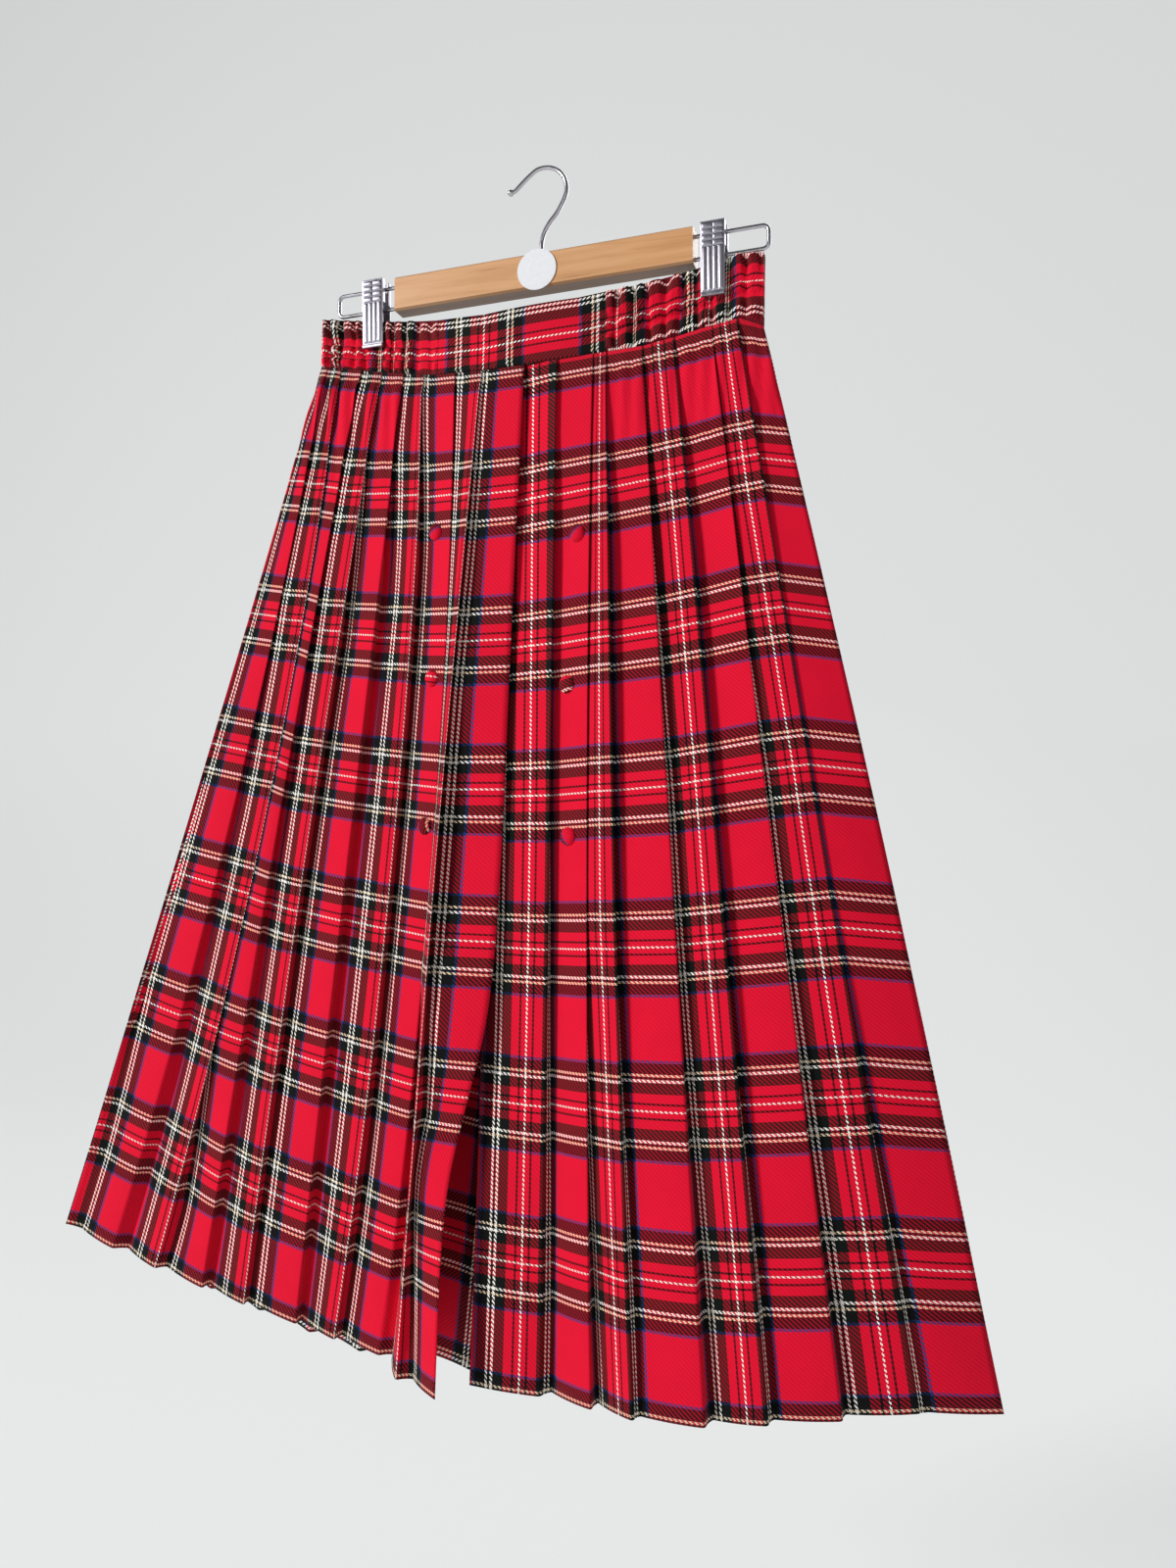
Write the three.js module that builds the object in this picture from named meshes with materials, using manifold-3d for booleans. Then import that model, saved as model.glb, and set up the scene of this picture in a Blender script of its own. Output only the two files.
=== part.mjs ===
// A knife-pleated skirt on an elasticated waistband, hung by two clips from a wooden bar hanger.
// Millimetres, +Z up. The origin is the inside top of the hanger's hook, where a peg carries it.
// +X is the viewer's right and -Y is the front.

import * as THREE from "three";
import { mergeVertices } from "three/addons/utils/BufferGeometryUtils.js";
import Module from "manifold-3d";

const wasm = await Module();
wasm.setup();

// Driving dimensions -----------------------------------------------------------------------------

const GAP = 0.3; // between pieces that touch or are sewn together

// Hanger: a bar with a sliding-clip rail at each end and a wire hook, hanging a little off level.
const HANGER_TILT = THREE.MathUtils.degToRad(1.3);
const BAR = { length: 246, height: 27.7, depth: 16, bevel: 1.6 };
const HOOK = { wire: 3.4, bend: 20, rise: 70.35, tipBall: 2.6 };
const RAIL = { wire: 3.2, spread: 17.4, reach: 55, corner: 7 };
const LABEL = { radius: 16, thickness: 0.6 };
const CLIP = {
  places: { left: -143.5, right: 137.5 },
  width: 18.3,
  height: 56,
  aboveBar: 15.5, // from the bar's centre line up to the clip's top
  sheet: 1.2,
  fluteDepth: 1.1,
  flutes: 4,
  gripLength: 18, // the ridged thumb pad
  gripRidges: 4,
  lip: 2.4,
  spread: 6.4, // half the distance between the jaws at the thumb pads
  bite: 4.9, // half the distance between the jaws at the cloth
};
const SPRING = { radius: 5.1, sheet: 1, leg: 6.5, width: 8 };
const BAR_Z = HOOK.wire / 2 - HOOK.rise - BAR.height / 2; // the bar's centre line

// Cloth
const CLOTH = 1; // thickness of the skirt's wall
const BAND = 2.4; // thickness of the doubled waistband
const CUT_LENGTH = 763; // from the waist seam to the hem, along each fold
const PLEAT = { face: 40, back: 17.5 }; // half a tartan repeat: 57.5 mm of cloth in each pleat
const MID = 0.49; // where the table's middle column lies, as a share of the cut length
const TUCK = 0.62; // most of the way to the tip before, that a pleat's back runs under it
const FOLD_DEPTH = { waist: 3.2, share: 0.65, fullFrom: 0.3 }; // pleats are pressed flat at the waist
const CLEAR = 1.8; // least distance between the middles of two layers of cloth
const SIDE_SEAM = (CLOTH + GAP) / 2 + 0.2; // each side's distance from the line where the sides meet
const SEAM_EASE = { front: 0.9, back: 0.9 }; // the gathered edge lies this little below the waistband
const PROUD = 2.4; // how far the pleat tips stand out from the waistband at the seam
const SIDE_OPENING = [0.12, 0.55]; // share of their depth that the pleats next to a side seam keep
const SIDE_STEP = { first: 2, next: 6 }; // least distances of the hidden folds from a free edge

// The top edge and the waist seam, left to right. It sags between the clips and the free ends droop.
const WAIST = [
  { x: -192, top: -96, seam: -134.5 },
  { x: -153, top: -102, seam: -142.5 },
  { x: -86, top: -111, seam: -154.5 },
  { x: -42, top: -114, seam: -157.6 },
  { x: -9, top: -112.5, seam: -157.6 },
  { x: 36, top: -110.5, seam: -155.3 },
  { x: 86, top: -103.5, seam: -150.5 },
  { x: 129, top: -95.8, seam: -141.7 },
  { x: 158, top: -89.5, seam: -137 },
  { x: 175, top: -91, seam: -144.3 },
];
const WAIST_FRONT = { ends: -2, middle: -13 }; // how far forward the front of the waist stands
const WAIST_BACK = { ends: 2, middle: 9, sag: 12 };
const PINCHED = 14; // the clips hold the front and the back together for this far inside them

// The flat, interfaced stretch of the waistband; the rest is gathered on elastic.
const FLAT_BAND = { from: -83, to: 56 };
const GATHER = { pitch: 9, depth: 1.3, rows: [0, 0.1, 0.4, 0.46, 0.78, 1] };

// Tips of the front pleats, left to right: x at the waist, at mid length and at the hem, and how far
// back the tip lies at the hem.
const LEFT_TIPS = [
  { waist: -192, mid: -302, hem: -421, back: -4 },
  { waist: -186, mid: -262, hem: -370, back: -5 },
  { waist: -172, mid: -230, hem: -325, back: -7 },
  { waist: -153, mid: -214, hem: -277, back: -8 },
  { waist: -134, mid: -183, hem: -235, back: -9 },
  { waist: -114, mid: -144, hem: -186, back: -11 },
  { waist: -95, mid: -106, hem: -148, back: -14 },
  { waist: -66, mid: -73, hem: -107, back: -18 },
  { waist: -42, mid: -62, hem: -77, back: -46 },
];
// The free edge of the left front: it lies on the centre panel, then swings out and opens the slit.
const FLAP_EDGE = [
  { share: 0, x: -7, y: -13 },
  { share: 0.3, x: -7, y: -15 },
  { share: 0.47, x: -10, y: -19 },
  { share: 0.61, x: -13, y: -25 },
  { share: 0.7, x: -22, y: -32 },
  { share: 0.77, x: -38, y: -38 },
  { share: 0.86, x: -42, y: -48 },
  { share: 1, x: -36, y: -64 },
];
// The hidden edge of the right front, under the flap, and then its pleat tips.
const UNDER_EDGE = { waist: -37, mid: -31, hem: -24, waistY: 0, midY: -8, back: -32 };
const RIGHT_TIPS = [
  { waist: 16, mid: 23, hem: 31, back: -32 },
  { waist: 33, mid: 51, hem: 73, back: -42 },
  { waist: 50, mid: 76, hem: 106, back: -51 },
  { waist: 87, mid: 120, hem: 156, back: -51 },
  { waist: 113, mid: 153, hem: 197, back: -47 },
  { waist: 138, mid: 188, hem: 240, back: -38 },
  { waist: 157, mid: 223, hem: 291, back: -24 },
  { waist: 175, mid: 262, hem: 345, back: -2 },
];
const BACK_PLEATS = 16;
const BACK_DEPTH = { mid: 26, hem: 24, edge: 0.09 }; // how far back the back's tips lie

const SHARES = [0, 0.03, 0.07, 0.12, 0.18, 0.25, 0.33, 0.41, 0.49, 0.57, 0.65, 0.73, 0.8, 0.87, 0.94, 1];

// Buttons in two columns: the pleat whose face carries them, and the drop of each row below the seam.
const BUTTON = { radius: 6.8, height: 4.6, drops: [130, 244, 357] };
const BUTTON_COLUMNS = [
  { side: "left", x: -76 },
  { side: "right", x: 37 },
];

const MATERIAL = {
  tartan: { color: 0xb5121f, roughness: 0.9, metalness: 0 },
  beech: { color: 0xd9a066, roughness: 0.55, metalness: 0 },
  chrome: { color: 0xc9ccd0, roughness: 0.18, metalness: 1 },
  paper: { color: 0xf4f5f7, roughness: 0.5, metalness: 0 },
};

// Small helpers ----------------------------------------------------------------------------------

// Stands an outline up: its x becomes depth, its y height, and it is drawn out along the length.
const DEPTH_HEIGHT_LENGTH = new THREE.Matrix4().makeBasis(
  new THREE.Vector3(0, 1, 0),
  new THREE.Vector3(0, 0, 1),
  new THREE.Vector3(1, 0, 0),
);

const lerp = THREE.MathUtils.lerp;
const clamp = THREE.MathUtils.clamp;
const smoothstep = THREE.MathUtils.smoothstep;

// Value of a named column of a table, straight between its rows.
function lookup(table, key, at, column) {
  const last = table.length - 1;
  const i = clamp(table.findIndex((row) => row[key] > at) - 1, 0, last - 1);
  const from = at >= table[last][key] ? last - 1 : i;
  const [a, b] = [table[from], table[from + 1]];
  const t = clamp((at - a[key]) / (b[key] - a[key]), 0, 1);
  return lerp(a[column], b[column], t);
}

// The curve through a value at 0, one at MID and one at 1.
function throughThree(share, start, middle, end) {
  const a = ((share - MID) * (share - 1)) / MID;
  const b = (share * (share - 1)) / (MID * (MID - 1));
  const c = (share * (share - MID)) / (1 - MID);
  return start * a + middle * b + end * c;
}

function mesh(name, geometry, material) {
  const made = new THREE.Mesh(geometry, new THREE.MeshStandardMaterial(MATERIAL[material]));
  made.name = name;
  return made;
}

function toSolid(geometry) {
  const bare = geometry.clone();
  for (const extra of ["normal", "uv"]) bare.deleteAttribute(extra);
  const merged = mergeVertices(bare, 1e-4);
  return new wasm.Manifold(
    new wasm.Mesh({
      numProp: 3,
      vertProperties: merged.attributes.position.array,
      triVerts: new Uint32Array(merged.index.array),
    }),
  );
}

function toGeometry(solid) {
  const { vertProperties, triVerts } = solid.getMesh();
  const geometry = new THREE.BufferGeometry();
  geometry.setAttribute("position", new THREE.BufferAttribute(vertProperties, 3));
  geometry.setIndex(new THREE.BufferAttribute(triVerts, 1));
  return geometry;
}

function joined(geometries) {
  return toGeometry(geometries.map(toSolid).reduce((whole, piece) => whole.add(piece)));
}

// A round wire along a curve.
function wire(curve, diameter, steps, sides = 5) {
  const section = new THREE.Shape();
  section.absarc(0, 0, diameter / 2, 0, 2 * Math.PI);
  return new THREE.ExtrudeGeometry(section, {
    extrudePath: curve,
    steps,
    curveSegments: sides,
    bevelEnabled: false,
  });
}

// The waist ---------------------------------------------------------------------------------------

const WAIST_LEFT = WAIST[0].x;
const WAIST_RIGHT = WAIST[WAIST.length - 1].x;

// 0 at the clips and outside them, and 1 in the middle of the waist.
function waistFullness(x) {
  const [from, to] = [CLIP.places.left + PINCHED, CLIP.places.right - PINCHED];
  const t = (2 * (x - from)) / (to - from) - 1;
  return (1 - Math.min(t * t, 1)) ** 2;
}

const frontY = (x) => lerp(WAIST_FRONT.ends, WAIST_FRONT.middle, waistFullness(x));
const backY = (x) => lerp(WAIST_BACK.ends, WAIST_BACK.middle, waistFullness(x));
const waistZ = (x, column, sag = 0) => lookup(WAIST, "x", x, column) - sag * waistFullness(x);

// Pleated walls -----------------------------------------------------------------------------------

// A fold's place at each share of the cut length, hanging straight from the seam on its cut length.
function foldTip({ waist, mid, hem, back }, waistY, sag = 0, midBack = (waistY + back) / 2) {
  const seam = waistZ(waist, "seam", sag) - GAP;
  const drop = Math.sqrt(CUT_LENGTH ** 2 - (hem - waist) ** 2 - (back - waistY) ** 2);
  return (share) => ({
    x: throughThree(share, waist, mid, hem),
    y: throughThree(share, waistY, midBack, back),
    z: seam - drop * share,
    kind: "tip",
  });
}

function flapTip(share) {
  const { x, y } = FLAP_EDGE[0];
  const hem = FLAP_EDGE[FLAP_EDGE.length - 1];
  const drop = Math.sqrt(CUT_LENGTH ** 2 - (hem.x - x) ** 2 - (hem.y - y) ** 2);
  return {
    x: lookup(FLAP_EDGE, "share", share, "x"),
    y: lookup(FLAP_EDGE, "share", share, "y"),
    z: waistZ(x, "seam") - GAP - drop * share,
    kind: "tip",
  };
}

const underEdge = foldTip(UNDER_EDGE, UNDER_EDGE.waistY, 0, UNDER_EDGE.midY);

// The hidden fold between two tips: the pleat's back runs in from the first tip and its face runs out
// to the second. `least` is the nearest to the first tip that it may lie, and `opening` how much of
// its depth it keeps. It stays clear of the face that runs from the fold `before` to the first tip.
function hiddenFold(before, tip, next, share, least, opening) {
  const [dx, dy] = [next.x - tip.x, next.y - tip.y];
  const apart = Math.hypot(dx, dy);
  const spread = clamp(apart, PLEAT.face - PLEAT.back + 0.1, PLEAT.face + PLEAT.back - 1);
  const reach = (spread ** 2 + PLEAT.back ** 2 - PLEAT.face ** 2) / (2 * spread);
  const full = Math.sqrt(PLEAT.back ** 2 - reach ** 2) * FOLD_DEPTH.share;
  let inward = opening * lerp(FOLD_DEPTH.waist, full, smoothstep(share, 0, FOLD_DEPTH.fullFrom));
  const along = Math.max(reach, -TUCK * apart, least);
  const [ux, uy] = [dx / apart, dy / apart];
  if (before && along < 0) {
    const [fx, fy] = [tip.x - before.x, tip.y - before.y];
    const face = Math.hypot(fx, fy);
    const across = (along * (fx * uy - fy * ux)) / face;
    inward = Math.max(inward, (CLEAR - across) / ((fx * ux + fy * uy) / face));
  }
  return {
    x: tip.x + ux * along - uy * inward,
    y: tip.y + uy * along + ux * inward,
    z: lerp(tip.z, next.z, clamp(along / apart, 0, 1)),
    kind: "hidden",
  };
}

// The folds of one piece at one share of its length, round the skirt from its left edge. A side seam
// at its start or its end holds the pleats beside it open.
function foldRow({ tips, lead, seams }, share) {
  const places = tips.map((tip) => tip(share));
  const row = lead ? [lead(share)] : [];
  const last = places.length - 2;
  let travelled = 0;
  places.forEach((place, order) => {
    row.push(place);
    const next = places[order + 1];
    if (!next) return;
    const fromSeam = Math.min(
      seams.includes("start") ? order : Infinity,
      seams.includes("end") ? last - order : Infinity,
    );
    const least = lead ? -Infinity : SIDE_STEP.first + SIDE_STEP.next * order - travelled;
    const before = row.at(-2);
    row.push(hiddenFold(before, place, next, share, least, SIDE_OPENING[fromSeam] ?? 1));
    travelled += Math.hypot(next.x - place.x, next.y - place.y);
  });
  return row;
}

// The two faces of a wall at one row: each fold gives two points on the side it bulges to and one on
// the other, where the cloth's two layers meet.
function wallRow(row, thickness) {
  const half = thickness / 2;
  const longest = 4.5 * thickness;
  return row.map((place, i) => {
    const before = row[i - 1] ?? null;
    const after = row[i + 1] ?? null;
    const unit = (a, b) => {
      const length = Math.hypot(b.x - a.x, b.y - a.y);
      return [(b.x - a.x) / length, (b.y - a.y) / length];
    };
    const into = before ? unit(before, place) : unit(place, after);
    const out = after ? unit(place, after) : into;
    const at = (nx, ny, reach) => [place.x + nx * reach, place.y + ny * reach, place.z];
    // The outside is on the right hand of the way round.
    const n1 = [into[1], -into[0]];
    const n2 = [out[1], -out[0]];
    if (!before || !after) {
      const n = before ? n1 : n2;
      return { outside: [at(...n, half)], inside: [at(...n, -half)] };
    }
    const sum = [n1[0] + n2[0], n1[1] + n2[1]];
    const length = Math.hypot(...sum);
    const bisector = [sum[0] / length, sum[1] / length];
    const mitre = Math.min((2 * half) / length, longest);
    if (place.kind === "tip")
      return {
        outside: [at(...n1, half), at(...n2, half)],
        inside: [at(...bisector, -mitre)],
      };
    return {
      outside: [at(...bisector, mitre)],
      inside: [at(...n1, -half), at(...n2, -half)],
    };
  });
}

// A closed wall through rows of points from top to bottom.
function wallThrough(rows) {
  const points = [];
  const triangles = [];
  const loops = rows.map((row) => {
    const base = points.length;
    const sides = row.map(({ outside, inside }) => {
      const place = (list) => list.map((p) => points.push(p) - 1);
      return { outside: place(outside), inside: place(inside) };
    });
    const outer = sides.flatMap((s) => s.outside);
    const inner = sides.flatMap((s) => s.inside);
    return { base, sides, loop: [...outer, ...inner.reverse()] };
  });
  const outerCount = loops[0].sides.reduce((count, { outside }) => count + outside.length, 0);
  for (let r = 0; r + 1 < loops.length; r++) {
    const [upper, lower] = [loops[r].loop, loops[r + 1].loop];
    upper.forEach((a, i) => {
      const j = (i + 1) % upper.length;
      // Both faces of the wall are split along the same diagonal, so they stay a thickness apart.
      if (i < outerCount) triangles.push(a, lower[i], upper[j], upper[j], lower[i], lower[j]);
      else triangles.push(a, lower[i], lower[j], a, lower[j], upper[j]);
    });
  }
  const cap = ({ sides }, facing) => {
    const face = (...corners) => triangles.push(...(facing > 0 ? corners : corners.reverse()));
    sides.forEach(({ outside, inside }, i) => {
      if (outside.length > 1) face(outside[0], outside[1], inside[0]);
      if (inside.length > 1) face(outside[0], inside[1], inside[0]);
      const next = sides[i + 1];
      if (!next) return;
      const [a, b] = [outside.at(-1), next.outside[0]];
      const [c, d] = [next.inside[0], inside.at(-1)];
      face(a, b, c);
      face(a, c, d);
    });
  };
  cap(loops[0], 1);
  cap(loops.at(-1), -1);
  const geometry = new THREE.BufferGeometry();
  geometry.setAttribute("position", new THREE.Float32BufferAttribute(points.flat(), 3));
  geometry.setIndex(triangles);
  return geometry;
}

// The wall of a pleated piece. Its top edge follows the waist seam.
function pleatedWall(piece) {
  const rows = SHARES.map((share) => wallRow(foldRow(piece, share), CLOTH));
  for (const { outside, inside } of rows[0])
    for (const point of [...outside, ...inside])
      point[2] = waistZ(point[0], "seam", piece.sag) - piece.ease;
  return wallThrough(rows);
}

const frontTip = (tip) => foldTip(tip, frontY(tip.waist) - PROUD);
// The fold on a side seam, on the front or the back of the line where the two meet.
const sideTip = (tip, facing, sag) =>
  foldTip({ ...tip, back: tip.back - facing * SIDE_SEAM }, -facing * SIDE_SEAM, sag);

const [LEFT_SIDE, RIGHT_SIDE] = [LEFT_TIPS[0], RIGHT_TIPS.at(-1)];
const LEFT_FRONT = {
  tips: [sideTip(LEFT_SIDE, 1), ...LEFT_TIPS.slice(1).map(frontTip), flapTip],
  seams: ["start"],
  sag: 0,
  ease: SEAM_EASE.front,
};
const RIGHT_FRONT = {
  tips: [...RIGHT_TIPS.slice(0, -1).map(frontTip), sideTip(RIGHT_SIDE, 1)],
  lead: underEdge,
  seams: ["end"],
  sag: 0,
  ease: SEAM_EASE.front,
};

// The back runs from the right side seam round to the left one.
function backPiece() {
  const between = Array.from({ length: BACK_PLEATS - 1 }, (_, i) => {
    const t = (i + 1) / BACK_PLEATS;
    const column = (name) => lerp(RIGHT_SIDE[name], LEFT_SIDE[name], t);
    const inset = smoothstep(Math.min(t, 1 - t), 0, BACK_DEPTH.edge);
    const tip = {
      waist: column("waist"),
      mid: column("mid"),
      hem: column("hem"),
      back: lerp(column("back"), BACK_DEPTH.hem, inset),
    };
    const waistY = backY(tip.waist) + PROUD;
    return foldTip(tip, waistY, WAIST_BACK.sag, lerp(waistY, BACK_DEPTH.mid, inset));
  });
  const { sag } = WAIST_BACK;
  return {
    tips: [sideTip(RIGHT_SIDE, -1, sag), ...between, sideTip(LEFT_SIDE, -1, sag)],
    seams: ["start", "end"],
    sag,
    ease: SEAM_EASE.back,
  };
}

// The waistband -----------------------------------------------------------------------------------

// A stretch of waistband from one x to another. `bulge` raises its outer face in gathers.
function bandWall(from, to, depthAt, facing, gathered, sag = 0) {
  const length = Math.abs(to - from);
  const columns = gathered ? 2 * Math.round(length / GATHER.pitch) : 18;
  const rows = (gathered ? GATHER.rows : [0, 0.5, 1]).map((share) => {
    const channel = Math.sin(Math.PI * clamp(share < 0.43 ? share / 0.43 : (share - 0.43) / 0.57, 0, 1));
    return Array.from({ length: columns + 1 }, (_, i) => {
      const x = lerp(from, to, i / columns);
      const y = depthAt(x);
      const z = lerp(waistZ(x, "top", sag), waistZ(x, "seam", sag), share);
      const raised = gathered && i % 2 === 1 ? GATHER.depth * (0.35 + 0.65 * channel) : 0;
      return {
        outside: [[x, y - facing * (BAND / 2 + raised), z]],
        inside: [[x, y + facing * (BAND / 2), z]],
      };
    });
  });
  return wallThrough(rows);
}

function waistband() {
  const seam = GAP / 2;
  const parts = [
    ["waistband_front_flat", FLAT_BAND.from + seam, FLAT_BAND.to - seam, frontY, 1, false, 0],
    ["waistband_front_left", WAIST_LEFT, FLAT_BAND.from - seam, frontY, 1, true, 0],
    ["waistband_front_right", FLAT_BAND.to + seam, WAIST_RIGHT, frontY, 1, true, 0],
    ["waistband_back", WAIST_RIGHT, WAIST_LEFT, backY, -1, true, WAIST_BACK.sag],
  ];
  return parts.map(([name, ...shape]) => mesh(name, bandWall(...shape), "tartan"));
}

// Buttons -----------------------------------------------------------------------------------------

// A point on a pleat's face at an x, a drop below the seam, with the face's outward normal.
function onFace(piece, x, drop) {
  const share = drop / CUT_LENGTH;
  const row = foldRow(piece, share);
  const i = row.findIndex((p, k) => p.kind !== "hidden" && p.x > x && k > 0);
  const [inner, tip] = [row[i - 1], row[i]];
  const t = (x - inner.x) / (tip.x - inner.x);
  const [dx, dy] = [tip.x - inner.x, tip.y - inner.y];
  const length = Math.hypot(dx, dy);
  return {
    place: new THREE.Vector3(x, lerp(inner.y, tip.y, t), lerp(inner.z, tip.z, t)),
    normal: new THREE.Vector3(dy / length, -dx / length, 0),
  };
}

function buttonGeometry() {
  const { radius, height } = BUTTON;
  const profile = [
    [0, 0],
    [radius * 0.62, 0],
    [radius * 0.96, height * 0.22],
    [radius, height * 0.42],
    [radius * 0.86, height * 0.72],
    [radius * 0.5, height * 0.94],
    [0, height],
  ].map(([r, h]) => new THREE.Vector2(r, h));
  return new THREE.LatheGeometry(profile, 20);
}

function buttons() {
  return BUTTON_COLUMNS.flatMap(({ side, x }) =>
    BUTTON.drops.map((drop, row) => {
      const { place, normal } = onFace(side === "left" ? LEFT_FRONT : RIGHT_FRONT, x, drop);
      const button = mesh(`button_${side}_${row + 1}`, buttonGeometry(), "tartan");
      button.quaternion.setFromUnitVectors(new THREE.Vector3(0, 1, 0), normal);
      button.position.copy(place).addScaledVector(normal, CLOTH / 2 + GAP);
      return button;
    }),
  );
}

// The hanger --------------------------------------------------------------------------------------

// A bar with its long edges eased.
function barGeometry() {
  const { length, height, depth, bevel } = BAR;
  const [y, z] = [depth / 2, height / 2];
  const outline = new THREE.Shape(
    [
      [-y + bevel, -z],
      [y - bevel, -z],
      [y, -z + bevel],
      [y, z - bevel],
      [y - bevel, z],
      [-y + bevel, z],
      [-y, z - bevel],
      [-y, -z + bevel],
    ].map(([a, b]) => new THREE.Vector2(a, b)),
  );
  const bar = new THREE.ExtrudeGeometry(outline, { depth: length, bevelEnabled: false });
  bar.translate(0, 0, -length / 2);
  return bar.applyMatrix4(DEPTH_HEIGHT_LENGTH);
}

// The hook rises from the bar, sways to the right and bends over the peg, with a ball at its tip.
function hookGeometry() {
  const { wire: thick, bend, rise, tipBall } = HOOK;
  const foot = BAR.height / 2 + GAP;
  const crown = BAR.height / 2 + rise;
  const centre = crown - bend;
  // The hook stays plumb over the bar, whichever way the bar tips.
  const at = (x, z) => new THREE.Vector3(x + z * Math.tan(HANGER_TILT), 0, z);
  const over = (degrees) => {
    const a = THREE.MathUtils.degToRad(degrees);
    return at(bend * Math.cos(a), centre + bend * Math.sin(a));
  };
  const points = [
    at(0, foot),
    at(0, foot + 9),
    at(1, foot + 17),
    at(6, foot + 25.5),
    at(13, foot + 32.5),
    ...[-18, 5, 28, 50, 70, 90, 110, 132, 155].map(over),
    at(-22.5, centre + 4.2),
    at(-27.5, centre + 4.8),
  ];
  const curve = new THREE.CatmullRomCurve3(points, false, "centripetal");
  const ball = new THREE.SphereGeometry(tipBall, 12, 8);
  ball.translate(...at(-28.5, centre + 5.2).toArray());
  return joined([wire(curve, thick, 60), ball]);
}

// One rail: a wire that leaves the bar's end, turns round and comes back.
function railGeometry(side) {
  const { wire: thick, spread, reach, corner } = RAIL;
  const [start, end] = [BAR.length / 2 + GAP, BAR.length / 2 + reach];
  const z = spread / 2;
  const path = new THREE.CurvePath();
  const point = (x, height) => new THREE.Vector3(side * x, 0, height);
  const turn = (from, through, to) => new THREE.QuadraticBezierCurve3(from, through, to);
  path.add(new THREE.LineCurve3(point(start, z), point(end - corner, z)));
  path.add(turn(point(end - corner, z), point(end, z), point(end, z - corner)));
  path.add(new THREE.LineCurve3(point(end, z - corner), point(end, -z + corner)));
  path.add(turn(point(end, -z + corner), point(end, -z), point(end - corner, -z)));
  path.add(new THREE.LineCurve3(point(end - corner, -z), point(start, -z)));
  return wire(path, thick, 48);
}

// A pressed jaw, its outer side facing -Y: a ridged thumb pad over a fluted plate with a lip.
function jawGeometry() {
  const { width, height, sheet, fluteDepth, flutes, gripLength, gripRidges, lip } = CLIP;
  const plate = new THREE.Shape();
  const flute = width / flutes;
  plate.moveTo(-width / 2, 0);
  for (let i = 0; i < flutes; i++) {
    const left = -width / 2 + i * flute;
    plate.lineTo(left + flute * 0.12, -sheet);
    plate.quadraticCurveTo(left + flute / 2, -sheet - 2 * fluteDepth, left + flute * 0.88, -sheet);
  }
  plate.lineTo(width / 2, 0);
  const fluted = new THREE.ExtrudeGeometry(plate, {
    depth: height - gripLength - lip + 0.2,
    curveSegments: 4,
    bevelEnabled: false,
  });
  fluted.translate(0, 0, -height + lip - 0.1);
  const pad = new THREE.Shape();
  const ridge = (gripLength + 0.1) / gripRidges;
  pad.moveTo(0, 0);
  for (let i = 0; i < gripRidges; i++) {
    const top = -i * ridge;
    pad.lineTo(-sheet, top - ridge * 0.08);
    pad.quadraticCurveTo(-sheet - 2 * fluteDepth, top - ridge / 2, -sheet, top - ridge * 0.92);
  }
  pad.lineTo(0, -gripLength - 0.1);
  const ridged = new THREE.ExtrudeGeometry(pad, {
    depth: width,
    curveSegments: 4,
    bevelEnabled: false,
  });
  ridged.applyMatrix4(DEPTH_HEIGHT_LENGTH);
  ridged.translate(-width / 2, 0, 0);
  const edge = new THREE.BoxGeometry(width, sheet + fluteDepth, lip);
  edge.translate(0, -(sheet + fluteDepth) / 2, -height + lip / 2);
  return joined([fluted, ridged, edge]);
}

// The bent strip that sits astride the rail's lower wire and springs the jaws together.
function springGeometry() {
  const { radius, sheet, leg, width } = SPRING;
  const outline = new THREE.Shape();
  outline.moveTo(radius, -leg);
  outline.absarc(0, 0, radius, 0, Math.PI, false);
  outline.lineTo(-radius, -leg);
  outline.lineTo(-radius + sheet, -leg);
  outline.absarc(0, 0, radius - sheet, Math.PI, 0, true);
  outline.lineTo(radius - sheet, -leg);
  const spring = new THREE.ExtrudeGeometry(outline, {
    depth: width,
    curveSegments: 8,
    bevelEnabled: false,
  });
  spring.applyMatrix4(DEPTH_HEIGHT_LENGTH);
  spring.translate(-width / 2, 0, 0);
  return spring;
}

function clip(side) {
  const { places, height, aboveBar, spread, bite } = CLIP;
  const group = new THREE.Group();
  group.position.set(places[side], 0, aboveBar);
  const lean = Math.atan((spread - bite) / height);
  for (const [name, facing] of [["front", 1], ["back", -1]]) {
    const jaw = mesh(`clip_${side}_${name}_jaw`, jawGeometry(), "chrome");
    jaw.position.y = -facing * spread;
    jaw.rotation.set(facing * lean, 0, facing > 0 ? 0 : Math.PI, "XYZ");
    group.add(jaw);
  }
  const spring = mesh(`clip_${side}_spring`, springGeometry(), "chrome");
  const wireTop = -RAIL.spread / 2 + RAIL.wire / 2;
  spring.position.z = -aboveBar + wireTop + GAP - (SPRING.radius - SPRING.sheet);
  group.add(spring);
  return group;
}

function hanger() {
  const group = new THREE.Group();
  group.add(mesh("hanger_bar", barGeometry(), "beech"));
  group.add(mesh("hanger_hook", hookGeometry(), "chrome"));
  group.add(mesh("rail_left", railGeometry(-1), "chrome"));
  group.add(mesh("rail_right", railGeometry(1), "chrome"));
  const label = mesh(
    "hanger_label",
    new THREE.CylinderGeometry(LABEL.radius, LABEL.radius, LABEL.thickness, 32),
    "paper",
  );
  label.position.y = -BAR.depth / 2 - GAP - LABEL.thickness / 2;
  group.add(label, clip("left"), clip("right"));
  group.rotation.y = -HANGER_TILT;
  group.position.z = BAR_Z;
  return group;
}

// The whole ---------------------------------------------------------------------------------------

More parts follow.
